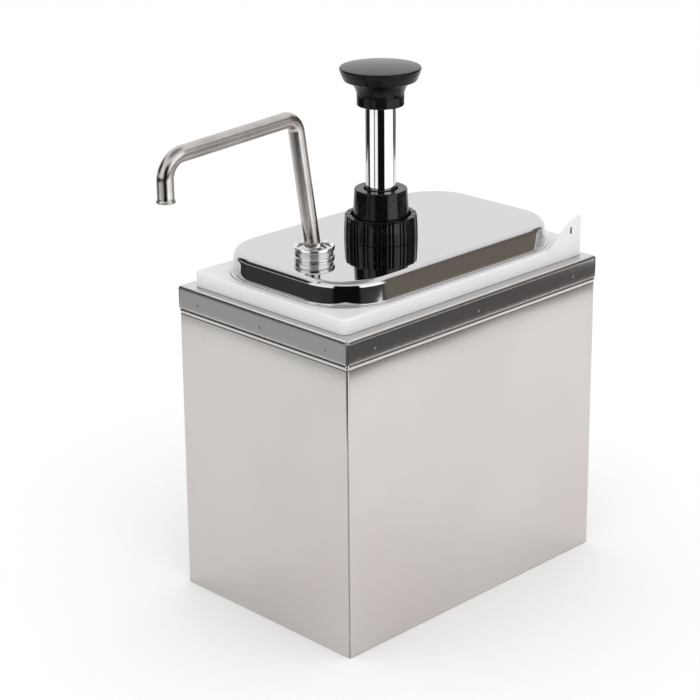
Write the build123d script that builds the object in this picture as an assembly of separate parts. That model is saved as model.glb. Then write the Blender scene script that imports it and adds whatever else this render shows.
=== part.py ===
from build123d import *
import math
import os

# Condiment pump dispenser: steel case, plastic tub, polished lid and hand pump.
# Origin at the centre of the case's bottom face, +Z up, spout towards -Y. Millimetres.

# ---- driving dimensions -------------------------------------------------
CASE_W = 131.4
CASE_D = 200.0
SHEET = 0.8
FRAME_TOP = 180.0
SKIRT_H = 13.1
SKIRT_STEP = 0.5
SKIRT_CORNER_R = 2.2
WALL_CORNER_R = 1.6
INNER_CORNER_R = 0.5
FRAME_BEND_R = 2.6
FRAME_INNER_BEND_R = 0.9
BEAD_H = 2.2
BEAD_OUT = 0.3
BEAD_BELOW_SKIRT = 0.5
WELD_R = 0.9
WELD_DEPTH = 0.25
WELD_BELOW_TOP = 8.4
END_WELD_PITCH = 50.0
SIDE_WELD_PITCH = 80.0
FLOOR_PAN_H = 9.0

INNER_Y = 1.0
TUB_RIM_W = 118.0
TUB_RIM_D = 192.0
TUB_RIM_R = 4.0
TUB_WALL = 2.0
TUB_TOP_W = 109.0
TUB_TOP_D = 183.0
TUB_TOP_R = 8.0
TUB_GAP = 1.0
TUB_TAPER = 3.5
TUB_BOTTOM = 12.0
RIM_TOP = 188.3
RIM_EDGE_R = 0.8
MOUTH_R = 28.0
EAR_ROOT = RIM_TOP - 1.5
EAR_TOP = 203.0
EAR_SLOPE = 0.74
EAR_BACK_SLOPE = 1.8
EAR_FLAT = 6.0
EAR_SLOT_L = 4.2
EAR_SLOT_W = 1.5

LID_TOP = 201.4
LID_W = 104.4
LID_D = 176.6
LID_R = 30.3
LID_DRAFT = 1.5
LID_LIP = 0.8
LID_LIP_EDGE_R = 0.35
LID_EDGE_R = 2.2
HOLE_GAP = 0.35

PUMP_Y = -8.0
HEAD_TOP = 229.6
HEAD_TOP_R = 14.7
HEAD_R = 15.6
NUT_TOP = 214.9
NUT_R = 20.55
NUT_RIBS = 18
GROOVE_W = 2.6
GROOVE_DEPTH = 1.5
RUN = 0.06

STROKE = 45.0
STROKE_SPARE = 1.9
TUBE_R = 8.4
KNOB_BOTTOM = HEAD_TOP + STROKE + STROKE_SPARE
KNOB_TOP = 298.6
KNOB_R = 22.5
NECK_R = 13.0

CYL_R = 16.0
CYL_BORE_R = 14.8
CYL_BOTTOM = 46.0
CYL_TOP = 198.0
PISTON_Z = 125.0
ROD_R = 3.0
SPRING_R = 8.6
SPRING_WIRE_R = 0.75
SPRING_TURNS = 9

GLAND_Y = -59.4
GLAND_TOP = 208.2
GLAND_R = 11.2
STEM_R = 6.0
SPOUT_R = 4.4
SPOUT_BORE_R = 3.4
SPOUT_TOP_Z = 280.9
RISER_R = 4.5
RISER_BORE_R = 3.5
PORT_Z = 40.0

PUMP = (0, PUMP_Y)
GLAND = (0, GLAND_Y)


# ---- shared shapes ------------------------------------------------------
def slab(width, depth, radius, z_low, z_high, y=0.0):
    """Upright prism with a rounded rectangle for its outline."""
    return extrude(Pos(0, y, z_low) * RectangleRounded(width, depth, radius), amount=z_high - z_low)


def tapered(low, high, z_low, z_high, y=0.0):
    """Solid between two rounded rectangles, each given as (width, depth, radius)."""
    return loft([Pos(0, y, z_low) * RectangleRounded(*low), Pos(0, y, z_high) * RectangleRounded(*high)])


def grown(outline, by):
    """Outline (width, depth, radius) moved outwards by a distance on every side."""
    width, depth, radius = outline
    return (width + 2 * by, depth + 2 * by, radius + by)


def top_edges(shape):
    return shape.faces().sort_by(Axis.Z)[-1].edges()


def rod(radius, z_low, z_high, at=(0, 0)):
    return Pos(at[0], at[1], (z_low + z_high) / 2) * Cylinder(radius, z_high - z_low)


def ring(outer, inner, z_low, z_high, at=(0, 0)):
    return rod(outer, z_low, z_high, at) - rod(inner, z_low, z_high, at)


def turned(profile, at=(0, 0)):
    """Solid of revolution about a vertical axis; profile is a list of (radius, z)."""
    outline = Polyline(*[(radius, 0, z) for radius, z in profile], close=True)
    return Pos(at[0], at[1], 0) * revolve(make_face(outline), Axis.Z)


def hex_nut(across_flats, bore, z_low, z_high, at=(0, 0)):
    blank = Pos(at[0], at[1], z_low) * RegularPolygon(across_flats / 2, 6, major_radius=False)
    return extrude(blank, amount=z_high - z_low) - rod(bore, z_low, z_high, at)


def bar_along_y(radius, y_low, y_high, z):
    return Pos(0, (y_low + y_high) / 2, z) * Rot(90, 0, 0) * Cylinder(radius, y_high - y_low)


# ---- case ---------------------------------------------------------------
def case_wrap():
    """Four folded walls, stepped in under the frame's skirt, with a bead just below it."""
    step_z = FRAME_TOP - SKIRT_H
    wall_top = FRAME_TOP - 2.5 * SHEET
    upper_w = CASE_W - 2 * (SHEET - SKIRT_STEP)
    upper_d = CASE_D - 2 * (SHEET - SKIRT_STEP)
    lower = slab(CASE_W, CASE_D, WALL_CORNER_R, 0, step_z)
    lower -= slab(CASE_W - 2 * SHEET, CASE_D - 2 * SHEET, WALL_CORNER_R - SHEET, 0, step_z - SHEET)
    lower -= slab(upper_w - 2 * SHEET, upper_d - 2 * SHEET, INNER_CORNER_R, step_z - SHEET, step_z)
    upper = slab(upper_w, upper_d, SKIRT_CORNER_R - SHEET, step_z, wall_top)
    upper -= slab(upper_w - 2 * SHEET, upper_d - 2 * SHEET, INNER_CORNER_R, step_z, wall_top)
    bead_top = step_z - BEAD_BELOW_SKIRT
    bead_low = bead_top - BEAD_H
    bead = slab(CASE_W + 2 * BEAD_OUT, CASE_D + 2 * BEAD_OUT, WALL_CORNER_R + BEAD_OUT, bead_low, bead_top)
    ends = bead.faces().sort_by(Axis.Z)
    bead = chamfer(ends[-1].edges() + ends[0].edges(), BEAD_OUT * 0.8)
    bead -= slab(CASE_W - SHEET, CASE_D - SHEET, WALL_CORNER_R - SHEET / 2, bead_low, bead_top)
    return lower + upper + bead


def case_floor():
    """Floor pan with a turned-up edge, welded inside the walls."""
    width = CASE_W - 2 * SHEET
    depth = CASE_D - 2 * SHEET
    pan = slab(width, depth, SHEET, 0, FLOOR_PAN_H)
    return pan - slab(width - 2 * SHEET, depth - 2 * SHEET, INNER_CORNER_R, SHEET, FLOOR_PAN_H)


def top_frame():
    """Flat flange with a rounded bend and a skirt over the walls, open for the tub."""
    width = CASE_W + 2 * SKIRT_STEP
    depth = CASE_D + 2 * SKIRT_STEP
    low = FRAME_TOP - SKIRT_H
    shell = slab(width, depth, SKIRT_CORNER_R, low, FRAME_TOP)
    shell = fillet(top_edges(shell), FRAME_BEND_R)
    cavity = slab(width - 2 * SHEET, depth - 2 * SHEET, SKIRT_CORNER_R - SHEET, low, FRAME_TOP - SHEET)
    cavity = fillet(top_edges(cavity), FRAME_INNER_BEND_R)
    opening = slab(*grown((TUB_TOP_W, TUB_TOP_D, TUB_TOP_R), TUB_GAP), low, FRAME_TOP, INNER_Y)
    frame = shell - cavity - opening
    weld_z = FRAME_TOP - WELD_BELOW_TOP
    end_marks = Pos(0, 0, weld_z) * Rot(90, 0, 0) * weld_pair(depth)
    side_marks = Pos(0, 0, weld_z) * Rot(0, 90, 0) * weld_pair(width)
    for along in (-1, 0, 1):
        frame -= Pos(END_WELD_PITCH * along, 0, 0) * end_marks
        frame -= Pos(0, SIDE_WELD_PITCH * along, 0) * side_marks
    return frame


def weld_pair(span):
    """Two shallow round marks facing each other across the given span."""
    return Cylinder(WELD_R, span) - Cylinder(2 * WELD_R, span - 2 * WELD_DEPTH)


# ---- tub ----------------------------------------------------------------
def tub():
    """Tapered container with a folded-over rim, a round-cornered mouth and an ear at one corner."""
    bottom_w = TUB_TOP_W - 2 * TUB_TAPER
    bottom_d = TUB_TOP_D - 2 * TUB_TAPER
    wall = 2 * TUB_WALL
    high = (TUB_TOP_W, TUB_TOP_D, TUB_TOP_R)
    body = tapered((bottom_w, bottom_d, TUB_TOP_R - 1), high, TUB_BOTTOM, FRAME_TOP, INNER_Y)
    body += slab(*high, FRAME_TOP, RIM_TOP, INNER_Y)
    rim = slab(TUB_RIM_W, TUB_RIM_D, TUB_RIM_R, FRAME_TOP, RIM_TOP, INNER_Y)
    rim = fillet(top_edges(rim), RIM_EDGE_R)
    under_rim = (TUB_RIM_W - wall, TUB_RIM_D - wall, TUB_RIM_R - TUB_WALL)
    rim -= slab(*under_rim, FRAME_TOP, RIM_TOP - TUB_WALL, INNER_Y)
    ear_ring = slab(TUB_RIM_W, TUB_RIM_D, TUB_RIM_R, EAR_ROOT, EAR_TOP, INNER_Y)
    ear_ring -= slab(*under_rim, EAR_ROOT, EAR_TOP, INNER_Y)
    hollow_low = (bottom_w - wall, bottom_d - wall, TUB_TOP_R - 1 - TUB_WALL)
    hollow_high = (TUB_TOP_W - wall, TUB_TOP_D - wall, TUB_TOP_R - TUB_WALL)
    hollow = tapered(hollow_low, hollow_high, TUB_BOTTOM + TUB_WALL, RIM_TOP - TUB_WALL, INNER_Y)
    mouth = slab(TUB_TOP_W - wall, TUB_TOP_D - wall, MOUTH_R, RIM_TOP - TUB_WALL, RIM_TOP, INNER_Y)
    return body + rim - hollow - mouth + (ear_ring & ear_wedge())


def ear_wedge():
    """Room that the ear fills: highest at the corner, sloping down along both walls."""
    corner_x = TUB_RIM_W / 2 - TUB_RIM_R
    corner_y = INNER_Y + TUB_RIM_D / 2 - TUB_RIM_R
    crest_y = corner_y - EAR_FLAT
    run_y = (EAR_TOP - EAR_ROOT) / EAR_SLOPE
    run_x = (EAR_TOP - EAR_ROOT) / EAR_BACK_SLOPE
    far_x = corner_x + 2 * TUB_RIM_R
    far_y = corner_y + 2 * TUB_RIM_R
    side = make_face(Polyline((0, crest_y - run_y, EAR_ROOT), (0, crest_y, EAR_TOP),
                              (0, far_y, EAR_TOP), (0, far_y, EAR_ROOT), close=True))
    back = make_face(Polyline((corner_x - run_x, 0, EAR_ROOT), (corner_x, 0, EAR_TOP),
                              (far_x, 0, EAR_TOP), (far_x, 0, EAR_ROOT), close=True))
    along_x = extrude(side, amount=far_x, dir=(1, 0, 0))
    along_y = extrude(back, amount=far_y, dir=(0, 1, 0))
    slot_at = Pos(TUB_RIM_W / 2, crest_y - 1.2, (RIM_TOP + EAR_TOP) / 2 + 0.8) * Rot(0, 90, 0)
    slot = extrude(slot_at * SlotOverall(EAR_SLOT_L, EAR_SLOT_W), amount=2 * TUB_WALL, both=True)
    return (along_x & along_y) - slot


# ---- lid ----------------------------------------------------------------
def lid_cover():
    """Pressed cover: flat top, rounded edge, drafted skirt and a thin lip that rests on the rim."""
    head = (LID_W, LID_D, LID_R)
    foot = grown(head, LID_DRAFT)
    outer = tapered(foot, head, RIM_TOP, LID_TOP, INNER_Y)
    outer = fillet(top_edges(outer), LID_EDGE_R)
    cavity = tapered(grown(foot, -SHEET), grown(head, -SHEET), RIM_TOP, LID_TOP - SHEET, INNER_Y)
    cavity = fillet(top_edges(cavity), LID_EDGE_R - SHEET)
    lip = slab(*grown(foot, LID_LIP), RIM_TOP, RIM_TOP + SHEET, INNER_Y)
    lip = fillet(top_edges(lip), LID_LIP_EDGE_R)
    cover = outer + lip - cavity
    cover -= rod(HEAD_R + HOLE_GAP, RIM_TOP, LID_TOP, PUMP)
    return cover - rod(STEM_R + HOLE_GAP, RIM_TOP, LID_TOP, GLAND)


# ---- pump head ----------------------------------------------------------
LID_UNDER = LID_TOP - SHEET
FLANGE_TOP = LID_UNDER - 1.0
FLANGE_R = 19.5
FLANGE_LOW = FLANGE_TOP - 3.0
SOCKET_LOW = 184.0
SOCKET_R = CYL_R + 2.0
THROAT_R = 9.4
BUSH_LOW = 204.0
BUSH_TOP = 222.0
BUSH_R = 10.6
WIPER_H = 2.2


def lid_gasket():
    return ring(FLANGE_R, HEAD_R, FLANGE_TOP, LID_UNDER, PUMP)


def pump_head():
    """Sleeve through the lid with a flange below it and a socket for the cylinder."""
    profile = [(THROAT_R, CYL_TOP), (THROAT_R, BUSH_LOW), (BUSH_R, BUSH_LOW), (BUSH_R, HEAD_TOP),
               (HEAD_TOP_R - 1.0, HEAD_TOP), (HEAD_TOP_R - 0.3, HEAD_TOP - 0.3), (HEAD_TOP_R, HEAD_TOP - 1.0),
               (HEAD_R - 0.1, NUT_TOP + 0.4), (HEAD_R, NUT_TOP), (HEAD_R, FLANGE_TOP), (FLANGE_R, FLANGE_TOP),
               (FLANGE_R, FLANGE_LOW), (SOCKET_R, FLANGE_LOW), (SOCKET_R, SOCKET_LOW), (CYL_R, SOCKET_LOW),
               (CYL_R, CYL_TOP)]
    return turned(profile, PUMP)


def lock_nut():
    """Ring nut with raised ribs that clamps the head to the lid."""
    inner = HEAD_R + RUN
    profile = [(inner, LID_TOP), (NUT_R, LID_TOP), (NUT_R - 0.6, NUT_TOP - 2.0), (NUT_R - 1.3, NUT_TOP),
               (inner, NUT_TOP)]
    nut = turned(profile, PUMP)
    groove = Pos(NUT_R, 0, 0) * Box(2 * GROOVE_DEPTH, GROOVE_W, NUT_TOP - LID_TOP)
    for index in range(NUT_RIBS):
        turn = Rot(0, 0, 360 / NUT_RIBS * (index + 0.5))
        nut -= Pos(0, PUMP_Y, (NUT_TOP + LID_TOP) / 2) * turn * groove
    return nut


def guide_bush():
    return ring(BUSH_R, TUBE_R + RUN, BUSH_LOW, BUSH_TOP, PUMP)


def wiper_seal():
    return ring(BUSH_R, TUBE_R + RUN, BUSH_TOP, BUSH_TOP + WIPER_H, PUMP)


# ---- plunger ------------------------------------------------------------
TUBE_LOW = 199.0
TUBE_HIGH = 289.0
TUBE_WALL = 1.0
FLARE_LOW = 281.0
CAP_LOW = 290.2
INSERT_R = 6.0
INSERT_H = 5.0
PLUG_H = 6.0
ROD_TOP = TUBE_HIGH + INSERT_H
ROD_LOW = PISTON_Z - 7.0
PISTON_H = 14.0
PISTON_GAP = 0.4
WASHER_R = 9.0
WASHER_H = 1.2
SEAL_LOW = PISTON_Z + 4.0
SEAL_HIGH = PISTON_Z + 10.0
SEAL_CORE_R = 10.5
SEAL_LIP = 1.3
HEX_AF = 10.0
HEX_H = 4.5


def knob():
    """Mushroom knob: flat domed cap with a tapered edge on a flared neck."""
    rim_z = KNOB_TOP - 1.0
    dome_edge = KNOB_R - 0.6
    dome_low = rim_z + 0.5
    dome_rise = KNOB_TOP - dome_low
    dome_radius = (dome_edge**2 + dome_rise**2) / (2 * dome_rise)
    middle_z = KNOB_TOP - dome_radius + math.sqrt(dome_radius**2 - (dome_edge / 2) ** 2)
    flare_r = NECK_R + 4.2
    socket_z = ROD_TOP + 0.5
    outline = ThreePointArc((dome_edge, 0, dome_low), (dome_edge / 2, 0, middle_z), (0, 0, KNOB_TOP))
    outline += ThreePointArc((NECK_R, 0, FLARE_LOW), (NECK_R + 0.8, 0, FLARE_LOW + 5.4), (flare_r, 0, CAP_LOW))
    outline += Polyline((0, 0, KNOB_TOP), (0, 0, socket_z), (INSERT_R, 0, socket_z), (INSERT_R, 0, TUBE_HIGH),
                        (TUBE_R, 0, TUBE_HIGH), (TUBE_R, 0, KNOB_BOTTOM), (NECK_R - 0.5, 0, KNOB_BOTTOM),
                        (NECK_R, 0, KNOB_BOTTOM + 0.5), (NECK_R, 0, FLARE_LOW))
    outline += Polyline((flare_r, 0, CAP_LOW), (KNOB_R - 2.4, 0, CAP_LOW), (KNOB_R - 1.5, 0, CAP_LOW + 0.7),
                        (KNOB_R, 0, rim_z), (dome_edge, 0, dome_low))
    return Pos(0, PUMP_Y, 0) * revolve(make_face(outline), Axis.Z)


def knob_insert():
    return ring(INSERT_R, ROD_R, TUBE_HIGH, ROD_TOP, PUMP)


def plunger_tube():
    return ring(TUBE_R, TUBE_R - TUBE_WALL, TUBE_LOW, TUBE_HIGH, PUMP)


def tube_plug():
    return ring(TUBE_R - TUBE_WALL, ROD_R, TUBE_LOW, TUBE_LOW + PLUG_H, PUMP)


def piston_rod():
    return rod(ROD_R, ROD_LOW, ROD_TOP, PUMP)


def rod_nut():
    low = PISTON_Z + PISTON_H + WASHER_H
    return hex_nut(HEX_AF, ROD_R, low, low + HEX_H, PUMP)


def piston_washer():
    return ring(WASHER_R, ROD_R, PISTON_Z + PISTON_H, PISTON_Z + PISTON_H + WASHER_H, PUMP)


def piston():
    outer = CYL_BORE_R - PISTON_GAP
    body = ring(outer, ROD_R, PISTON_Z, PISTON_Z + PISTON_H, PUMP)
    return body - ring(outer, SEAL_CORE_R, SEAL_LOW, SEAL_HIGH, PUMP)


def piston_seal():
    """Cup seal: a band with a hollow under its lip."""
    cup = ring(CYL_BORE_R - RUN, SEAL_CORE_R, SEAL_LOW, SEAL_HIGH, PUMP)
    middle = (SEAL_LOW + SEAL_HIGH) / 2
    return cup - ring(CYL_BORE_R - SEAL_LIP, SEAL_CORE_R + SEAL_LIP, SEAL_LOW, middle, PUMP)


def piston_nut():
    return hex_nut(HEX_AF, ROD_R, PISTON_Z - HEX_H, PISTON_Z, PUMP)


# ---- cylinder and inlet valve -------------------------------------------
SEAT_PLATE_H = 2.0
SEAT_PLATE_BORE_R = 7.0
CYL_SEAL_R = CYL_R + 1.2
CYL_SEAL_Z = (CYL_BOTTOM + 3.0, CYL_BOTTOM + 5.0)
SPRING_LOW = CYL_BOTTOM + SEAT_PLATE_H
VALVE_R = 19.0
VALVE_LOW = 20.0
SOCKET_TOP = 54.0
CHAMBER_R = 10.0
BALL_R = 5.5
INLET_R = 4.0
SEAT_Z = 28.0
INLET_SEAT_LOW = SEAT_Z - 2.0
CAGE_Z = 41.2
CAGE_H = 2.0
CAGE_BAR_W = 2.6
CHAMBER_LOW = CAGE_Z - 4.2
BALL_REST = 0.05
BALL_CHAMBER_R = 6.3
PORT_R = 3.8
SPIGOT_R = 6.2
BOSS_R = 8.5
BOSS_END = -36.0
BOSS_SHOULDER = -29.0


def cylinder():
    return ring(CYL_R, CYL_BORE_R, CYL_BOTTOM, CYL_TOP, PUMP)


def cylinder_seal():
    """Ring in the valve body's socket, around the cylinder's lower end."""
    return ring(CYL_SEAL_R, CYL_R, *CYL_SEAL_Z, PUMP)


def spring_seat():
    return ring(CYL_BORE_R - 0.1, SEAT_PLATE_BORE_R, CYL_BOTTOM, SPRING_LOW, PUMP)


def return_spring():
    """Round-wire compression spring with flat-closed ends, between its seat and the piston."""
    low = SPRING_LOW + SPRING_WIRE_R
    high = PISTON_Z - SPRING_WIRE_R
    pitch = (high - low) / SPRING_TURNS
    path = Helix(pitch, high - low, SPRING_R)
    wire = sweep(Plane(origin=path @ 0, z_dir=path % 0) * Circle(SPRING_WIRE_R), path=path)
    return Pos(0, PUMP_Y, low) * wire


def valve_body():
    """Foot of the pump: cylinder socket, chamber, inlet bore and a side boss for the outlet."""
    body = rod(VALVE_R, VALVE_LOW, SOCKET_TOP, PUMP)
    body += bar_along_y(BOSS_R, BOSS_END, PUMP_Y, PORT_Z)
    body -= rod(CYL_R, CYL_BOTTOM, SOCKET_TOP, PUMP)
    body -= rod(CYL_SEAL_R, *CYL_SEAL_Z, PUMP)
    body -= rod(CHAMBER_R, CHAMBER_LOW, CYL_BOTTOM, PUMP)
    body -= rod(BALL_CHAMBER_R, INLET_SEAT_LOW, CAGE_Z, PUMP)
    body -= rod(INLET_R, VALVE_LOW, SEAT_Z, PUMP)
    body -= bar_along_y(PORT_R, BOSS_END, PUMP_Y, PORT_Z)
    return body - bar_along_y(SPIGOT_R, BOSS_END, BOSS_SHOULDER, PORT_Z)


def inlet_seat():
    return ring(BALL_CHAMBER_R, INLET_R, INLET_SEAT_LOW, SEAT_Z, PUMP)


def inlet_ball():
    centre = SEAT_Z + math.sqrt(BALL_R**2 - INLET_R**2) + BALL_REST
    return Pos(0, PUMP_Y, centre) * Sphere(BALL_R)


def ball_cage():
    """Ring with one bar across it, which keeps the ball under the chamber."""
    cage = ring(CHAMBER_R, CHAMBER_R - CAGE_H, CAGE_Z, CAGE_Z + CAGE_H, PUMP)
    return cage + Pos(0, PUMP_Y, CAGE_Z + CAGE_H / 2) * Box(2 * CHAMBER_R - CAGE_H, CAGE_BAR_W, CAGE_H)


# ---- outlet -------------------------------------------------------------
ELBOW_R = 9.5
ELBOW_ARM_R = 8.0
SPIGOT_END = BOSS_SHOULDER - 1.5
ELBOW_LOW = 30.0
ELBOW_TOP = 66.0
OUT_SEAT_Z = 46.0
OUT_BALL_R = 4.8
OUT_CHAMBER_R = 5.8
RISER_NUT_AF = 17.0
RISER_NUT_H = 7.0
RISER_LOW = 58.0
RISER_TOP = 199.0


def outlet_elbow():
    """Elbow from the valve body's boss to the riser, with the outlet ball's chamber in it."""
    body = rod(ELBOW_R, ELBOW_LOW, ELBOW_TOP, GLAND)
    body += bar_along_y(ELBOW_ARM_R, GLAND_Y, BOSS_END, PORT_Z)
    body += bar_along_y(SPIGOT_R, BOSS_END, SPIGOT_END, PORT_Z)
    body -= bar_along_y(PORT_R, GLAND_Y, SPIGOT_END, PORT_Z)
    body -= rod(PORT_R, PORT_Z - PORT_R, OUT_SEAT_Z, GLAND)
    body -= rod(OUT_CHAMBER_R, OUT_SEAT_Z, RISER_LOW, GLAND)
    return body - rod(SPIGOT_R, RISER_LOW, ELBOW_TOP, GLAND)


def elbow_seal():
    disc = bar_along_y(SPIGOT_R, SPIGOT_END, BOSS_SHOULDER, PORT_Z)
    return disc - bar_along_y(PORT_R, SPIGOT_END, BOSS_SHOULDER, PORT_Z)


def outlet_ball():
    centre = OUT_SEAT_Z + math.sqrt(OUT_BALL_R**2 - PORT_R**2) + BALL_REST
    return Pos(0, GLAND_Y, centre) * Sphere(OUT_BALL_R)


def riser_bush():
    return ring(SPIGOT_R, RISER_R, RISER_LOW, ELBOW_TOP, GLAND)


def riser_nut():
    return hex_nut(RISER_NUT_AF, RISER_R, ELBOW_TOP, ELBOW_TOP + RISER_NUT_H, GLAND)


def riser_tube():
    return ring(RISER_R, RISER_BORE_R, RISER_LOW, RISER_TOP, GLAND)


# ---- gland on the lid ---------------------------------------------------
STEM_LOW = 190.0
BACKNUT_AF = 19.0
BACKNUT_H = 5.0
FOOT_SEAL_R = 7.5
COLLAR_R = 9.6
COLLAR_TOP = 205.0
FOOT_LOW = 206.0
FOOT_FLANGE_R = 8.9
FOOT_FLANGE_TOP = 207.0
FOOT_LIP_R = 8.4
FOOT_PLAY = 0.3
FOOT_TOP = 210.6


def gland_body():
    """Threaded fitting through the lid; the riser ends inside it."""
    profile = [(RISER_R, STEM_LOW), (STEM_R, STEM_LOW), (STEM_R, LID_TOP), (COLLAR_R, LID_TOP),
               (COLLAR_R, COLLAR_TOP), (RISER_BORE_R, COLLAR_TOP), (RISER_BORE_R, RISER_TOP),
               (RISER_R, RISER_TOP)]
    return turned(profile, GLAND)


def gland_washer():
    return ring(STEM_R + 4.0, STEM_R, FLANGE_TOP, LID_UNDER, GLAND)


def gland_backnut():
    return hex_nut(BACKNUT_AF, STEM_R, FLANGE_TOP - BACKNUT_H, FLANGE_TOP, GLAND)


def foot_seal():
    return ring(FOOT_SEAL_R, RISER_BORE_R, COLLAR_TOP, FOOT_LOW, GLAND)


def gland_nut():
    """Ring nut whose lip holds the spout's foot down."""
    bore = FOOT_FLANGE_R + 0.3
    under_lip = FOOT_FLANGE_TOP + FOOT_PLAY
    over_collar = COLLAR_TOP + FOOT_PLAY
    profile = [(COLLAR_R + RUN, LID_TOP), (GLAND_R, LID_TOP), (GLAND_R, GLAND_TOP - 0.5),
               (GLAND_R - 0.5, GLAND_TOP), (FOOT_LIP_R + 1.4, GLAND_TOP), (FOOT_LIP_R, under_lip),
               (bore, under_lip), (bore, over_collar), (COLLAR_R + RUN, over_collar)]
    return turned(profile, GLAND)


# ---- spout --------------------------------------------------------------
SPOUT_START = (0, -60.25, 206.9)
SPOUT_SHOULDER = (0, -72.2, SPOUT_TOP_Z)
SPOUT_DROP = (0, -160.9, SPOUT_TOP_Z - 5.0)
SPOUT_END = (0, -160.9, SPOUT_TOP_Z - 27.6)
SHOULDER_BEND = 8.0
DROP_BEND = 14.0
BEAD_R = 0.75


def spout_solid(radius):
    corners = [SPOUT_START, SPOUT_SHOULDER, SPOUT_DROP, SPOUT_END]
    path = FilletPolyline(*corners, radius=[SHOULDER_BEND, DROP_BEND])
    section = Plane(origin=path @ 0, z_dir=path % 0) * Circle(radius)
    return sweep(section, path=path)


def discharge_tube():
    """Bent tube: leaning riser, long arm, and a nozzle with a rolled end."""
    end_at = (0, SPOUT_END[1])
    end_z = SPOUT_END[2]
    rolled_end = Pos(*end_at, end_z + BEAD_R) * Torus(SPOUT_R, BEAD_R)
    end_bore = rod(SPOUT_BORE_R, end_z - 2 * BEAD_R, end_z + 3 * BEAD_R, end_at)
    return spout_solid(SPOUT_R) + rolled_end - spout_solid(SPOUT_BORE_R) - end_bore


def tube_foot():
    """Flared foot welded to the spout's lower end."""
    profile = [(0, FOOT_LOW), (FOOT_FLANGE_R, FOOT_LOW), (FOOT_FLANGE_R, FOOT_FLANGE_TOP),
               (FOOT_LIP_R - 0.4, FOOT_FLANGE_TOP + FOOT_PLAY), (SPOUT_R + 0.8, FOOT_TOP), (0, FOOT_TOP)]
    cone = turned(profile, GLAND)
    bore = rod(RISER_BORE_R, FOOT_LOW, FOOT_FLANGE_TOP + 1, GLAND)
    return cone - spout_solid(SPOUT_R) - bore


NODES = [
    case_wrap, case_floor, top_frame, tub, lid_cover, lid_gasket, pump_head, lock_nut, guide_bush, wiper_seal,
    knob, knob_insert, plunger_tube, tube_plug, piston_rod, rod_nut, piston_washer, piston, piston_seal,
    piston_nut, cylinder, cylinder_seal, spring_seat, return_spring, valve_body, inlet_seat, inlet_ball,
    ball_cage, outlet_elbow, elbow_seal, outlet_ball, riser_bush, riser_nut, riser_tube, gland_body,
    gland_washer, gland_backnut, foot_seal, gland_nut, discharge_tube, tube_foot,
]

os.makedirs("parts", exist_ok=True)
for make in NODES:
    export_step(make(), f"parts/{make.__name__}.step")
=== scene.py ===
import math

import bmesh
import bpy
from mathutils import Matrix, Vector


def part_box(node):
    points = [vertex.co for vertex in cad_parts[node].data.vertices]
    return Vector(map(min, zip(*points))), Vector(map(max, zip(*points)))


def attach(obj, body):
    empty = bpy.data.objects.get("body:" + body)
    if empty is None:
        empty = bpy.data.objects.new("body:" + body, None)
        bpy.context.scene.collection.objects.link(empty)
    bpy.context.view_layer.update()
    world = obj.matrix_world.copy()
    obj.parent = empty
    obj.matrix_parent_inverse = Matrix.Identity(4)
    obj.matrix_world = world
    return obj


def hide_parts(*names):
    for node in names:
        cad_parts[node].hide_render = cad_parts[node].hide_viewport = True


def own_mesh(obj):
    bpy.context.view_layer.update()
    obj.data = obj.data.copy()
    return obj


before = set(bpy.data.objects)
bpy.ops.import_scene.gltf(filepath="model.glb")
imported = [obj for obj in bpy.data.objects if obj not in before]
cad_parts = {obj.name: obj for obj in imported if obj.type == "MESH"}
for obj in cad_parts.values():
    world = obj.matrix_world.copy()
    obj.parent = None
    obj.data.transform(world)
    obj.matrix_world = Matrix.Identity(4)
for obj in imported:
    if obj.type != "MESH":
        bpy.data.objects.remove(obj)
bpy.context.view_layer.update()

# Condiment pump dispenser. Shapes are worked out in millimetres from the CAD nodes' boxes.
MM = 0.001


def span(node):
    """Lowest and highest corner of a CAD node, in millimetres."""
    low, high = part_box(node)
    return low / MM, high / MM


def axis_of(node):
    """Centre of a node in plan, in millimetres."""
    low, high = span(node)
    return ((low.x + high.x) / 2, (low.y + high.y) / 2)


def radius_of(node):
    low, high = span(node)
    return (high.x - low.x) / 2


# ---- shader maths -------------------------------------------------------
class Value:
    """A number socket; an expression on it adds its Math nodes."""

    def __init__(self, tree, socket):
        self.tree = tree
        self.socket = socket

    def calc(self, operation, *terms):
        node = self.tree.nodes.new("ShaderNodeMath")
        node.operation = operation
        for socket, term in zip(node.inputs, terms):
            if isinstance(term, Value):
                self.tree.links.new(term.socket, socket)
            else:
                socket.default_value = term
        return Value(self.tree, node.outputs[0])

    def __add__(self, other):
        return self.calc("ADD", self, other)

    def __sub__(self, other):
        return self.calc("SUBTRACT", self, other)

    def __rsub__(self, other):
        return self.calc("SUBTRACT", other, self)

    def __mul__(self, other):
        return self.calc("MULTIPLY", self, other)

    def __truediv__(self, other):
        return self.calc("DIVIDE", self, other)

    def __rtruediv__(self, other):
        return self.calc("DIVIDE", other, self)

    def __abs__(self):
        return self.calc("ABSOLUTE", self)

    __radd__ = __add__
    __rmul__ = __mul__


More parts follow.
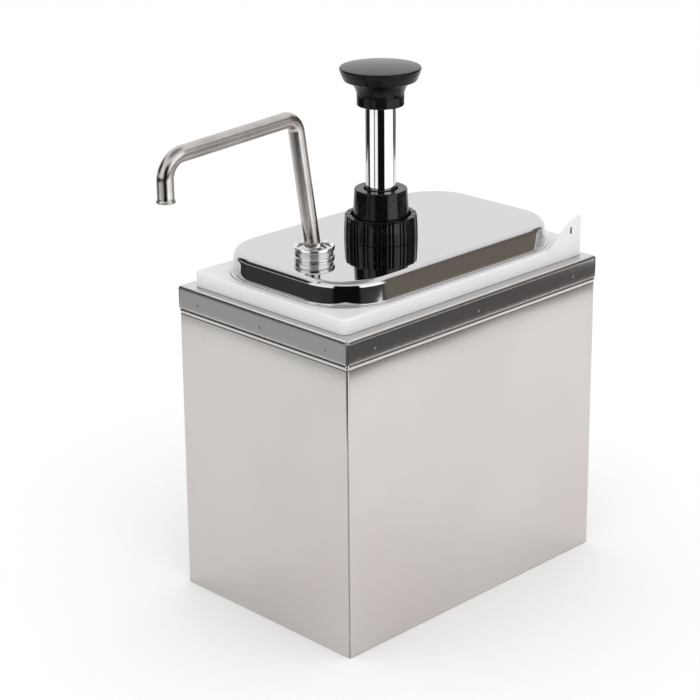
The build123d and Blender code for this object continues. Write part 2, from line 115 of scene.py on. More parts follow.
class Nodes:
    """A node tree with one method for adding any node, and short forms for common ones."""

    def __init__(self, tree):
        self.tree = tree
        tree.nodes.clear()

    def add(self, kind, settings=None, inputs=None):
        node = self.tree.nodes.new(kind)
        for name, value in (settings or {}).items():
            if name == "stops":
                self.set_stops(node.color_ramp, value)
            else:
                setattr(node, name, value)
        for name, value in (inputs or {}).items():
            socket = self.find(node, name)
            if isinstance(value, Value):
                self.tree.links.new(value.socket, socket)
            elif isinstance(value, bpy.types.NodeSocket):
                self.tree.links.new(value, socket)
            else:
                socket.default_value = value
        return node

    @staticmethod
    def find(node, name):
        if isinstance(name, int):
            return node.inputs[name]
        for socket in node.inputs:
            if socket.identifier == name:
                return socket
        return node.inputs[name]

    @staticmethod
    def set_stops(ramp, stops):
        while len(ramp.elements) < len(stops):
            ramp.elements.new(1.0)
        for element, (place, shade) in zip(ramp.elements, stops):
            element.position = place
            element.color = colour(shade)

    def value(self, socket):
        return Value(self.tree, socket)

    def place(self):
        """Object coordinates in metres, as a vector socket."""
        return self.add("ShaderNodeTexCoord").outputs["Object"]

    def split(self, vector):
        node = self.add("ShaderNodeSeparateXYZ", inputs={0: vector})
        return [self.value(socket) for socket in node.outputs]

    def noise(self, vector, scale, detail=2.0, stretch=(1, 1, 1), roughness=0.5):
        mapped = self.add("ShaderNodeMapping", inputs={"Vector": vector, "Scale": stretch})
        node = self.add("ShaderNodeTexNoise", inputs={
            "Vector": mapped.outputs[0], "Scale": scale, "Detail": detail, "Roughness": roughness})
        return self.value(node.outputs[0])

    def scratches(self, vector, scale, width, stretch=(1, 1, 1)):
        """Thin random lines: 1 on a line, 0 elsewhere."""
        mapped = self.add("ShaderNodeMapping", inputs={"Vector": vector, "Scale": stretch})
        node = self.add("ShaderNodeTexVoronoi", {"feature": "DISTANCE_TO_EDGE"}, {
            "Vector": mapped.outputs[0], "Scale": scale})
        return self.step(self.value(node.outputs[0]), width, 0.0)

    def step(self, value, start, end):
        """0 at start, 1 at end, smooth between."""
        node = self.add("ShaderNodeMapRange", {"interpolation_type": "SMOOTHSTEP"}, {
            "Value": value, "From Min": start, "From Max": end, "To Min": 0.0, "To Max": 1.0})
        return self.value(node.outputs[0])

    def blend(self, factor, first, second):
        """A colour between two."""
        node = self.add("ShaderNodeMix", {"data_type": "RGBA"}, {
            "Factor_Float": factor, "A_Color": colour(first), "B_Color": colour(second)})
        return node.outputs[2]

    def bump(self, height, strength, distance, normal=None):
        inputs = {"Height": height, "Strength": strength, "Distance": distance}
        if normal is not None:
            inputs["Normal"] = normal
        return self.add("ShaderNodeBump", inputs=inputs).outputs[0]


def colour(value):
    """A shade with its alpha: a plain number is a grey, and a socket stays as it is."""
    if isinstance(value, float):
        return (value, value, value, 1.0)
    if isinstance(value, tuple) and len(value) == 3:
        return (*value, 1.0)
    return value


class Finish(Nodes):
    """A material under construction, with its Principled shader."""

    def __init__(self, name, **constants):
        self.material = bpy.data.materials.new(name)
        self.material.use_nodes = True
        super().__init__(self.material.node_tree)
        self.shader = self.add("ShaderNodeBsdfPrincipled")
        self.add("ShaderNodeOutputMaterial", inputs={"Surface": self.shader.outputs[0]})
        for name, value in constants.items():
            self.shader.inputs[name.replace("_", " ")].default_value = value

    def feed(self, **links):
        for name, value in links.items():
            socket = self.shader.inputs[name.replace("_", " ")]
            if isinstance(value, Value):
                self.tree.links.new(value.socket, socket)
            else:
                self.tree.links.new(value, socket)
        return self.material


# ---- finishes -----------------------------------------------------------
CASE_HIGH = span("case_wrap")[1]
FRAME_LOW, FRAME_HIGH = span("top_frame")
BEAD_OUT = 0.3
BEAD_LOW = 164.2
BEAD_HIGH = 166.4
FOLD_START = 1.3
FOLD_END = 0.6


def sheet_steel(name, shade, warm, roughness, blotch, wave, skin=0.006):
    """Cold-rolled stainless sheet: faint upright rolling grain, cloudy sheen, light handling marks, and
    painted shade as dark lines down the corner folds and in the groove under the bead.
    """
    finish = Finish(name, Metallic=1.0)
    place = finish.place()
    cloud = finish.noise(place, 9.0, 3.0)
    grain = finish.noise(place, 900.0, 2.0, (1, 1, 0.02))
    speck = finish.noise(place, 420.0, 2.0)
    marks = finish.scratches(place, 60.0, 0.006, (1.0, 1.4, 0.35))
    x, y, z = finish.split(place)
    # Painted shade: a dark line down each corner fold and one in the groove under the bead, broken up by
    # noise patches.
    fold_x = finish.step(abs(x), (CASE_HIGH.x - FOLD_START) * MM, (CASE_HIGH.x - FOLD_END) * MM)
    fold_y = finish.step(abs(y), (CASE_HIGH.y - FOLD_START) * MM, (CASE_HIGH.y - FOLD_END) * MM)
    patchy = finish.step(finish.noise(place, 260.0, 3.0, (1, 1, 0.5)), 0.2, 0.45)
    groove = finish.step(z, (BEAD_LOW - 0.9) * MM, (BEAD_LOW - 0.6) * MM)
    groove = groove * finish.step(z, (BEAD_LOW + 0.25) * MM, (BEAD_LOW - 0.05) * MM)
    shaded = fold_x * fold_y + groove * 0.8
    painted_crease_shade = shaded.calc("MINIMUM", shaded, 1.0) * patchy
    tint = finish.blend(finish.step(cloud, 0.35, 0.65), shade, warm)
    tint = finish.blend(grain * 0.03 + speck * 0.03, tint, (0.45, 0.44, 0.43))
    tint = finish.blend(marks * 0.06, tint, (0.80, 0.80, 0.80))
    # The painted shade darkens the colour along the folds and in the groove.
    tint = finish.blend(painted_crease_shade * 0.75, tint, (0.10, 0.09, 0.085))
    rough = roughness + (cloud - 0.5) * blotch + (grain - 0.5) * 0.03 + marks * 0.04
    waves = finish.noise(place, 7.0, 1.0, (1, 1, 0.7))
    normal = finish.bump(waves, wave, 0.02)
    normal = finish.bump(grain + speck * 0.5, skin, 0.0003, normal)
    return finish.feed(Base_Color=tint, Roughness=rough, Normal=normal)


def mirror_steel(name, shade, roughness):
    """Buffed stainless: near-mirror with faint haze, wiping marks and fine dust."""
    finish = Finish(name, Metallic=1.0)
    place = finish.place()
    haze = finish.noise(place, 26.0, 4.0)
    wipe = finish.noise(place, 240.0, 3.0, (1, 0.06, 1))
    dust = finish.step(finish.noise(place, 1500.0, 1.0), 0.74, 0.80)
    tint = finish.blend(finish.step(haze, 0.3, 0.7) * 0.35, shade, tuple(0.94 * part for part in shade))
    tint = finish.blend(dust * 0.12, tint, (0.85, 0.85, 0.84))
    rough = roughness + finish.step(haze, 0.45, 0.8) * 0.035 + wipe * 0.02 + dust * 0.1
    waves = finish.noise(place, 16.0, 1.0)
    normal = finish.bump(waves, 0.05, 0.004)
    normal = finish.bump(wipe, 0.012, 0.0003, normal)
    return finish.feed(Base_Color=tint, Roughness=rough, Normal=normal)


def brushed_tube(name, shade, roughness):
    """Stainless tube polished along its length: the grain follows the piece's own UV map."""
    finish = Finish(name, Metallic=1.0)
    run = finish.add("ShaderNodeUVMap", {"uv_map": "grain"}).outputs[0]
    place = finish.place()
    grain = finish.noise(run, 1.0, 3.0, (260.0, 5.0, 1.0))
    fine = finish.noise(run, 1.0, 2.0, (700.0, 16.0, 1.0))
    cloud = finish.noise(place, 70.0, 3.0)
    tint = finish.blend(finish.step(cloud, 0.35, 0.7), shade, (0.50, 0.475, 0.46))
    tint = finish.blend(finish.step(grain, 0.45, 0.8) * 0.35, tint, (0.34, 0.32, 0.31))
    rough = roughness + (cloud - 0.5) * 0.14 + (grain - 0.5) * 0.16
    normal = finish.bump(grain + fine * 0.6, 0.10, 0.0004)
    return finish.feed(Base_Color=tint, Roughness=rough, Normal=normal)


def black_plastic(name, roughness, wear, shine):
    """Moulded glossy black plastic: soft orange peel, hairline scratches and a little dust."""
    finish = Finish(name, IOR=1.5, Specular_IOR_Level=shine)
    place = finish.place()
    cloud = finish.noise(place, 60.0, 3.0)
    peel = finish.noise(place, 900.0, 2.0)
    hair = finish.scratches(place, 190.0, 0.010, (1.0, 0.5, 1.3))
    dust = finish.step(finish.noise(place, 2300.0, 1.0), 0.76, 0.82)
    depth = finish.step(cloud, 0.3, 0.7)
    tint = finish.blend(depth, (0.003, 0.003, 0.0032), (0.007, 0.0068, 0.0065))
    tint = finish.blend(hair * wear * 0.12 + dust * wear * 0.15, tint, (0.16, 0.155, 0.15))
    rough = roughness + (cloud - 0.5) * 0.08 + hair * wear * 0.15 + dust * 0.2
    normal = finish.bump(peel, 0.05, 0.0003)
    return finish.feed(Base_Color=tint, Roughness=rough, Normal=normal)


def milky_plastic(name, shade, dirt):
    """Natural polyethylene: milky, faintly uneven, with shallow scuffs."""
    finish = Finish(name, IOR=1.5, Subsurface_Weight=0.25, Subsurface_Radius=(0.008, 0.008, 0.007),
                    Subsurface_Scale=0.4)
    place = finish.place()
    cloud = finish.noise(place, 24.0, 3.0)
    fine = finish.noise(place, 700.0, 3.0)
    scuff = finish.scratches(place, 80.0, 0.012, (0.7, 1.3, 1.0))
    tint = finish.blend(finish.step(cloud, 0.3, 0.75), shade, tuple(part * 0.955 for part in shade))
    tint = finish.blend(scuff * dirt, tint, tuple(part * 0.86 for part in shade))
    rough = 0.34 + (cloud - 0.5) * 0.16 + scuff * 0.12
    waves = finish.noise(place, 32.0, 2.0)
    normal = finish.bump(waves, 0.10, 0.002)
    normal = finish.bump(fine, 0.05, 0.0003, normal)
    return finish.feed(Base_Color=tint, Roughness=rough, Normal=normal)


def seal_rubber():
    finish = Finish("seal_rubber", IOR=1.45)
    place = finish.place()
    bloom = finish.noise(place, 180.0, 4.0)
    skin = finish.noise(place, 1600.0, 2.0)
    tint = finish.blend(finish.step(bloom, 0.4, 0.8), (0.018, 0.018, 0.019), (0.045, 0.045, 0.046))
    rough = 0.55 + (bloom - 0.5) * 0.3
    return finish.feed(Base_Color=tint, Roughness=rough, Normal=finish.bump(skin, 0.15, 0.0003))


def turned_metal(name, shade, dark, roughness):
    """Lathe-turned metal: fine rings across the axis, a little tarnish in the low spots."""
    finish = Finish(name, Metallic=1.0)
    place = finish.place()
    rings = finish.noise(place, 1800.0, 2.0, (0.04, 0.04, 1))
    tarnish = finish.noise(place, 150.0, 4.0)
    tint = finish.blend(finish.step(tarnish, 0.35, 0.75), shade, dark)
    rough = roughness + (rings - 0.5) * 0.12 + (tarnish - 0.5) * 0.14
    return finish.feed(Base_Color=tint, Roughness=rough, Normal=finish.bump(rings, 0.08, 0.0003))


def pale_floor():
    finish = Finish("pale_floor")
    place = finish.place()
    cloud = finish.noise(place, 3.0, 2.0)
    tint = finish.blend(cloud, (0.965, 0.965, 0.965), (0.975, 0.975, 0.975))
    return finish.feed(Base_Color=tint, Roughness=0.7 + (cloud - 0.5) * 0.1)


case_steel = sheet_steel("case_sheet_steel", (0.72, 0.715, 0.69), (0.70, 0.665, 0.665), 0.085, 0.05, 0.04)
frame_steel = sheet_steel("frame_sheet_steel", (0.66, 0.65, 0.64), (0.63, 0.61, 0.60), 0.055, 0.03, 0.01,
                          0.001)
weld_steel = sheet_steel("weld_mark_steel", (0.26, 0.25, 0.24), (0.20, 0.19, 0.18), 0.3, 0.08, 0.02)
lid_steel = mirror_steel("lid_mirror_steel", (0.645, 0.64, 0.64), 0.015)
chrome_plate = mirror_steel("chrome_plate", (0.78, 0.78, 0.79), 0.03)
gland_chrome = mirror_steel("gland_satin_chrome", (0.82, 0.82, 0.82), 0.20)
spout_steel = brushed_tube("spout_brushed_steel", (0.58, 0.555, 0.54), 0.15)
foot_steel = turned_metal("spout_foot_steel", (0.70, 0.69, 0.68), (0.58, 0.56, 0.55), 0.16)
gloss_black = black_plastic("pump_black_plastic", 0.07, 1.0, 0.36)
knob_black = black_plastic("knob_black_plastic", 0.09, 0.7, 0.17)
tub_plastic = milky_plastic("tub_milky_plastic", (0.80, 0.80, 0.805), 0.3)
white_plastic = milky_plastic("valve_white_plastic", (0.78, 0.78, 0.76), 0.5)
rubber = seal_rubber()
turned_steel = turned_metal("turned_steel", (0.62, 0.61, 0.60), (0.48, 0.47, 0.46), 0.24)
spring_steel = turned_metal("spring_wire_steel", (0.56, 0.55, 0.54), (0.42, 0.41, 0.40), 0.3)
brass = turned_metal("knob_insert_brass", (0.78, 0.60, 0.30), (0.52, 0.38, 0.18), 0.28)


# ---- mesh makers --------------------------------------------------------
def softened(corners, steps=5):
    """Closed outline from (a, b, radius) corners, each rounded by an arc of its radius."""
    outline = []
    count = len(corners)
    for index, (a, b, radius) in enumerate(corners):
        here = Vector((a, b))
        if radius == 0:
            outline.append(here)
            continue
        before = Vector(corners[index - 1][:2]) - here
        after = Vector(corners[(index + 1) % count][:2]) - here
        half = before.angle(after) / 2
        reach = min(radius / math.tan(half), 0.49 * before.length, 0.49 * after.length)
        radius = reach * math.tan(half)
        middle = here + (before.normalized() + after.normalized()).normalized() * radius / math.sin(half)
        start = here + before.normalized() * reach - middle
        end = here + after.normalized() * reach - middle
        turn = start.angle_signed(end)
        for step in range(steps + 1):
            angle = -turn * step / steps
            outline.append(middle + Matrix.Rotation(angle, 2) @ start)
    return outline


def finished(name, mesh, material, body, stands_for=(), sharp=32):
    """Merge, face outwards, smooth and place a piece on its body."""
    work = bmesh.new()
    work.from_mesh(mesh)
    bmesh.ops.remove_doubles(work, verts=work.verts, dist=0.000002)
    bmesh.ops.dissolve_degenerate(work, edges=work.edges, dist=0.000001)
    bmesh.ops.recalc_face_normals(work, faces=work.faces)
    work.to_mesh(mesh)
    work.free()
    mesh.shade_smooth()
    mesh.set_sharp_from_angle(angle=math.radians(sharp))
    mesh.materials.clear()
    mesh.materials.append(material)
    piece = bpy.data.objects.new(name, mesh)
    bpy.context.scene.collection.objects.link(piece)
    even = piece.modifiers.new("even_normals", "WEIGHTED_NORMAL")
    even.keep_sharp = True
    baked = baked_mesh(piece)
    piece.modifiers.clear()
    piece.data = baked
    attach(piece, body)
    if stands_for:
        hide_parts(*stands_for)
    return piece


def baked_mesh(source):
    """The evaluated object's geometry as a plain mesh."""
    graph = bpy.context.evaluated_depsgraph_get()
    graph.update()
    return bpy.data.meshes.new_from_object(source.evaluated_get(graph), depsgraph=graph)


def mesh_of(name, points, faces):
    mesh = bpy.data.meshes.new(name)
    mesh.from_pydata([Vector(point) * MM for point in points], [], faces)
    return mesh


def ring_faces(ring_count, ring_size, closed):
    """Quads between neighbouring rings of points."""
    faces = []
    for ring in range(ring_count if closed else ring_count - 1):
        here = ring * ring_size
        there = (ring + 1) % ring_count * ring_size
        for spot in range(ring_size):
            beside = (spot + 1) % ring_size
            faces.append((here + spot, here + beside, there + beside, there + spot))
    return faces


def lathe_mesh(name, corners, centre, steps=5, segments=96):
    """Closed outline of (radius, height, rounding) turned about an upright axis."""
    outline = softened(corners, steps)
    points = []
    for segment in range(segments):
        angle = 2 * math.pi * segment / segments
        for point in outline:
            radius = max(point.x, 0.0)
            x = centre[0] + radius * math.cos(angle)
            y = centre[1] + radius * math.sin(angle)
            points.append((x, y, point.y))
    return mesh_of(name, points, ring_faces(segments, len(outline), True))


def lathe(name, corners, centre, material, body, stands_for=(), steps=5, segments=96):
    mesh = lathe_mesh(name, corners, centre, steps, segments)
    return finished(name, mesh, material, body, stands_for)


def box_ring(width, depth, radius, z, y=0.0, corner_steps=14):
    """Points of a rounded rectangle at one height, anticlockwise."""
    radius = max(radius, 0.05)
    ring = []
    for sign_x, sign_y, start in ((1, 1, 0), (-1, 1, 90), (-1, -1, 180), (1, -1, 270)):
        centre_x = sign_x * (width / 2 - radius)
        centre_y = y + sign_y * (depth / 2 - radius)
        for step in range(corner_steps + 1):
            angle = math.radians(start + 90 * step / corner_steps)
            ring.append((centre_x + radius * math.cos(angle), centre_y + radius * math.sin(angle), z))
    return ring


def shell(name, rings, closed=True):
    """Skin over rings of equal length; a closed one returns from the last ring to the first."""
    points = [point for ring in rings for point in ring]
    return mesh_of(name, points, ring_faces(len(rings), len(rings[0]), closed))


def around(size, outline, y=0.0, corner_steps=14):
    """Rings of a rounded rectangle (width, depth, radius), one for each (outset, height) in the outline."""
    width, depth, radius = size
    return [box_ring(width + 2 * out, depth + 2 * out, radius + out, z, y, corner_steps)
            for out, z in outline]


def capped(mesh):
    """Close the open ends of a shell."""
    work = bmesh.new()
    work.from_mesh(mesh)
    bmesh.ops.holes_fill(work, edges=work.edges, sides=0)
    work.to_mesh(mesh)
    work.free()
    return mesh


# ---- repeating parts by geometry nodes ----------------------------------
class Growth(Nodes):
    """A geometry tree with named inputs, ending in Realize Instances and Set Material."""

    def __init__(self, name, inputs):
        tree = bpy.data.node_groups.new(name, "GeometryNodeTree")
        super().__init__(tree)
        tree.interface.new_socket("Geometry", in_out="INPUT", socket_type="NodeSocketGeometry")
        tree.interface.new_socket("Geometry", in_out="OUTPUT", socket_type="NodeSocketGeometry")
        for label, kind in inputs.items():
            tree.interface.new_socket(label, in_out="INPUT", socket_type=kind)
        tree.interface.new_socket("Material", in_out="INPUT", socket_type="NodeSocketMaterial")
        self.given = self.add("NodeGroupInput")

    def take(self, label):
        return self.value(self.given.outputs[label])

    def close(self, geometry):
        real = self.add("GeometryNodeRealizeInstances", inputs={"Geometry": geometry})
        painted = self.add("GeometryNodeSetMaterial", inputs={
            "Geometry": real.outputs[0], "Material": self.given.outputs["Material"]})
        self.add("NodeGroupOutput", inputs={"Geometry": painted.outputs[0]})
        return self.tree


def copies_round_axis():
    """Copies of the given mesh, turned about an upright axis through a centre."""
    grow = Growth("copies_round_axis", {"Count": "NodeSocketInt", "Centre": "NodeSocketVector"})
    spots = grow.add("GeometryNodePoints", inputs={
        "Count": grow.take("Count"), "Position": grow.take("Centre")})
    index = grow.value(grow.add("GeometryNodeInputIndex").outputs[0])
    turn = grow.add("ShaderNodeCombineXYZ", inputs={"Z": index / grow.take("Count") * (2 * math.pi)})
    copies = grow.add("GeometryNodeInstanceOnPoints", inputs={
        "Points": spots.outputs[0], "Instance": grow.given.outputs["Geometry"], "Rotation": turn.outputs[0]})
    return grow.close(copies.outputs[0])


def copies_in_row():
    """Copies of the given mesh along a straight row."""
    grow = Growth("copies_in_row", {
        "Count": "NodeSocketInt", "Start": "NodeSocketVector", "Step": "NodeSocketVector"})
    row = grow.add("GeometryNodeMeshLine", inputs={
        "Count": grow.take("Count"), "Start Location": grow.take("Start"), "Offset": grow.take("Step")})
    copies = grow.add("GeometryNodeInstanceOnPoints", inputs={
        "Points": row.outputs[0], "Instance": grow.given.outputs["Geometry"]})
    return grow.close(copies.outputs[0])


def coiled_wire():
    """Round wire wound as a helix of given radius, turns and height."""
    grow = Growth("coiled_wire", {
        "Turns": "NodeSocketFloat", "Radius": "NodeSocketFloat", "Height": "NodeSocketFloat",
        "Wire": "NodeSocketFloat", "Base": "NodeSocketVector", "Sides": "NodeSocketInt"})
    coil = grow.add("GeometryNodeCurveSpiral", inputs={
        "Resolution": 40, "Rotations": grow.take("Turns"), "Start Radius": grow.take("Radius"),
        "End Radius": grow.take("Radius"), "Height": grow.take("Height")})
    section = grow.add("GeometryNodeCurvePrimitiveCircle", inputs={
        "Resolution": grow.take("Sides"), "Radius": grow.take("Wire")})
    wire = grow.add("GeometryNodeCurveToMesh", inputs={
        "Curve": coil.outputs[0], "Profile Curve": section.outputs[0], "Fill Caps": True})
    moved = grow.add("GeometryNodeTransform", inputs={
        "Geometry": wire.outputs[0], "Translation": grow.take("Base")})
    return grow.close(moved.outputs[0])


def grown(tree, template, material, **sizes):
    """Mesh that a geometry tree makes from a template mesh and its named sizes."""
    seed = bpy.data.objects.new("growing", template or bpy.data.meshes.new("growing"))
    bpy.context.scene.collection.objects.link(seed)
    modifier = seed.modifiers.new("grow", "NODES")
    modifier.node_group = tree
    sockets = {s.name: s.identifier for s in tree.interface.items_tree if s.in_out == "INPUT"}
    for label, value in sizes.items():
        modifier[sockets[label]] = value
    modifier[sockets["Material"]] = material
    mesh = baked_mesh(seed)
    bpy.data.objects.remove(seed)
    return mesh


def joined(name, *meshes):
    """One mesh from several."""
    work = bmesh.new()
    for mesh in meshes:
        work.from_mesh(mesh)
    whole = bpy.data.meshes.new(name)
    work.to_mesh(whole)
    work.free()
    return whole


ROUND_AXIS = copies_round_axis()
IN_ROW = copies_in_row()
COIL = coiled_wire()


# ---- case ---------------------------------------------------------------
CASE_BODY = "case"
SKIRT_LOW = FRAME_LOW.z
FRAME_TOP = FRAME_HIGH.z
SHEET = 0.8
WELD_STANDS = 0.1
WELD_ROW = 8.4
WELDS_ACROSS_END = 50.0
WELDS_ALONG_SIDE = 80.0
TUB_OPENING = (111.0, 185.0, 9.0)
TUB_OPENING_Y = 1.0


def case_walls():
    """Folded walls with a rolled bead under the frame's skirt."""
    size = (2 * (CASE_HIGH.x - BEAD_OUT), 2 * (CASE_HIGH.y - BEAD_OUT), 1.2)
    tucked = -SHEET - 0.35
    wall_top = FRAME_TOP - 2.2
    outline = [(-0.25, 0.0), (-0.07, 0.07), (0.0, 0.25), (0.0, 40.0), (0.0, 80.0), (0.0, 120.0),
               (0.0, BEAD_LOW - 0.6), (-0.12, BEAD_LOW - 0.35), (-0.12, BEAD_LOW - 0.15)]
    bead_steps = 12
    for step in range(1, bead_steps):
        share = step / bead_steps
        swell = math.sin(math.pi * share ** 1.5)
        outline.append((BEAD_OUT * swell, BEAD_LOW + (BEAD_HIGH - BEAD_LOW) * share))
    outline += [(0.0, BEAD_HIGH), (-0.1, BEAD_HIGH + 0.25), (-0.45, BEAD_HIGH + 0.4), (-0.45, wall_top),
                (tucked, wall_top), (tucked, BEAD_LOW), (-SHEET, BEAD_LOW - 1), (-SHEET, 0.0)]
    mesh = shell("case_walls", around(size, outline))
    return finished("case_walls", mesh, case_steel, CASE_BODY, ["case_wrap"])


def seamed_ring(outset, z, seam):
    """Outline of the skirt at one height, with a narrow open seam at each corner."""
    half_x = FRAME_HIGH.x - WELD_STANDS + outset
    half_y = FRAME_HIGH.y - WELD_STANDS + outset
    edge = 0.16
    gap = 0.35
    ring = []
    for sign_x, sign_y, swap in ((1, 1, False), (-1, 1, True), (-1, -1, False), (1, -1, True)):
        before = [(0.0, 1.6), (0.0, gap + edge), (edge * 0.3, gap + edge * 0.3), (edge + seam * 0.5, gap)]
        corner = before + [(seam + edge, seam + edge)] + [(b, a) for a, b in reversed(before)]
        if swap:
            corner.reverse()
        for a, b in corner:
            ring.append((sign_x * (half_x - a), sign_y * (half_y - b), z))
    return ring


def frame_skirt():
    """Top frame: flat flange, narrow crease, rounded bend and skirt, seamed at its corners."""
    bend = 2.0
    bend_steps = 8
    seam = 0.55
    low = SKIRT_LOW
    top = FRAME_TOP
    flange_top = top - 0.05
    flange_under = flange_top - SHEET
    rings = [seamed_ring(outset, z, seam)
             for outset, z in ((-0.25, low), (-0.05, low + 0.08), (0.0, low + 0.3), (0.0, top - 8.0))]
    for step in range(bend_steps + 1):
        angle = math.radians(90 * step / bend_steps)
        outset = bend * (math.cos(angle) - 1)
        rings.append(seamed_ring(outset, top - bend * (1 - math.sin(angle)), seam * math.cos(angle)))
    crease = ((0.4, 0.03), (0.8, 0.16), (1.3, 0.05))
    rings += [seamed_ring(-bend - inward, top - sink, 0.0) for inward, sink in crease]
    size = len(rings[0]) // 4 - 1
    for z in (flange_top, flange_under):
        rings.append(box_ring(*TUB_OPENING, z, TUB_OPENING_Y, size))
    for outset, z in ((-bend, flange_under), (-SHEET, top - bend - SHEET), (-SHEET, low)):
        rings.append(seamed_ring(outset, z, 0.0))
    mesh = shell("frame_skirt", rings)
    return finished("frame_skirt", mesh, frame_steel, CASE_BODY, ["top_frame"])


def weld_marks():
    """Small round spot-weld marks along the skirt, one row for each wall."""
    height = FRAME_TOP - WELD_ROW
    mark = [(0.0, 0.02, 0), (0.30, 0.02, 0.1), (0.50, 0.14, 0.12), (0.85, 0.0, 0.2), (0.95, -0.2, 0),
            (0.0, -0.2, 0)]
    rows = []
    for sign in (-1, 1):
        face_x = sign * (FRAME_HIGH.x - WELD_STANDS)
        face_y = sign * (FRAME_HIGH.y - WELD_STANDS)
        rows.append((-sign, "X", (-WELDS_ACROSS_END, face_y, height), (WELDS_ACROSS_END, 0, 0)))
        rows.append((sign, "Y", (face_x, -WELDS_ALONG_SIDE, height), (0, WELDS_ALONG_SIDE, 0)))
    meshes = []
    for sign, axis, start, pitch in rows:
        dimple = lathe_mesh("mark", mark, (0, 0), 3, 20)
        dimple.transform(Matrix.Rotation(math.radians(90 * sign), 4, axis))
        meshes.append(grown(IN_ROW, dimple, weld_steel, Count=3, Start=Vector(start) * MM,
                            Step=Vector(pitch) * MM))
    return finished("weld_marks", joined("weld_marks", *meshes), weld_steel, CASE_BODY)


def floor_pan():
    """Pan welded in the bottom of the case, with a rounded turned-up edge."""
    low, high = span("case_floor")
    size = (high.x - low.x, high.y - low.y, 1.5)
    outline = [(-6.0, 0.0), (-1.6, 0.0), (-0.5, 0.4), (0.0, 1.6), (0.0, high.z), (-SHEET, high.z),
               (-SHEET, 2.4), (-2.0, 1.1), (-6.0, SHEET)]
    mesh = capped(shell("floor_pan", around(size, outline), closed=False))
    return finished("floor_pan", mesh, case_steel, CASE_BODY, ["case_floor"])


# ---- tub ----------------------------------------------------------------
TUB_LOW, TUB_HIGH = span("tub")
LID_LOW, LID_HIGH = span("lid_cover")
INNER_Y = (LID_LOW.y + LID_HIGH.y) / 2
RIM_TOP = LID_LOW.z
RIM_W = TUB_HIGH.x - TUB_LOW.x
RIM_D = TUB_HIGH.y - TUB_LOW.y
RIM_R = 4.0
TUB_WALL = 2.0
SIDE_SLOPE = 0.74
BACK_SLOPE = 1.8
EAR_FLAT = 6.0


def tub_shell():
    """Tapered tub: outer wall, folded-over rim with a low outer ridge, and inner wall."""
    low = TUB_LOW.z
    sections = [
        (96.0, 170.0, 4.0, low), (99.0, 173.0, 5.0, low + 0.4), (101.2, 175.2, 6.5, low + 1.8),
        (102.0, 176.0, 7.0, low + 4.0), (105.0, 179.0, 7.5, low + 80), (108.9, 182.9, 8.0, FRAME_TOP),
        (109.0, 183.0, 8.0, RIM_TOP - 2.4), (110.0, 184.0, 7.0, RIM_TOP - 2.0),
        (113.6, 187.6, 3.0, RIM_TOP - 2.0), (114.0, 188.0, 2.5, RIM_TOP - 2.4),
        (114.0, 188.0, 2.5, FRAME_TOP + 0.3), (114.3, 188.3, 2.6, FRAME_TOP),
        (117.6, 191.6, 3.8, FRAME_TOP), (117.95, 191.95, 3.98, FRAME_TOP + 0.2)]
    high = RIM_TOP - FRAME_TOP
    rim = [(0.0, 0.4), (0.0, high - 1.0), (-0.08, high - 0.4), (-0.3, high - 0.05), (-0.7, high + 0.12),
           (-1.3, high + 0.18), (-2.6, high + 0.18), (-3.1, high + 0.12), (-3.5, high - 0.02),
           (-4.0, high - 0.06)]
    rings = [box_ring(w, d, r, z, INNER_Y) for w, d, r, z in sections]
    for outset, z in rim:
        corner = max(RIM_R + outset, 0.8)
        rings.append(box_ring(RIM_W + 2 * outset, RIM_D + 2 * outset, corner, FRAME_TOP + z, INNER_Y))
    inside = [
        (106.0, 180.0, 28.4, RIM_TOP - 0.06), (105.0, 179.0, 28.0, RIM_TOP - 0.6),
        (105.0, 179.0, 28.0, RIM_TOP - TUB_WALL), (104.8, 178.8, 6.0, RIM_TOP - TUB_WALL),
        (101.0, 175.0, 5.6, low + 80), (98.2, 172.2, 5.2, low + 5.0), (97.0, 171.0, 4.8, low + 3.0),
        (94.0, 168.0, 4.0, low + TUB_WALL)]
    rings += [box_ring(w, d, r, z, INNER_Y) for w, d, r, z in inside]
    mesh = capped(shell("tub_shell", rings, closed=False))
    return finished("tub_shell", mesh, tub_plastic, "tub", ["tub"])


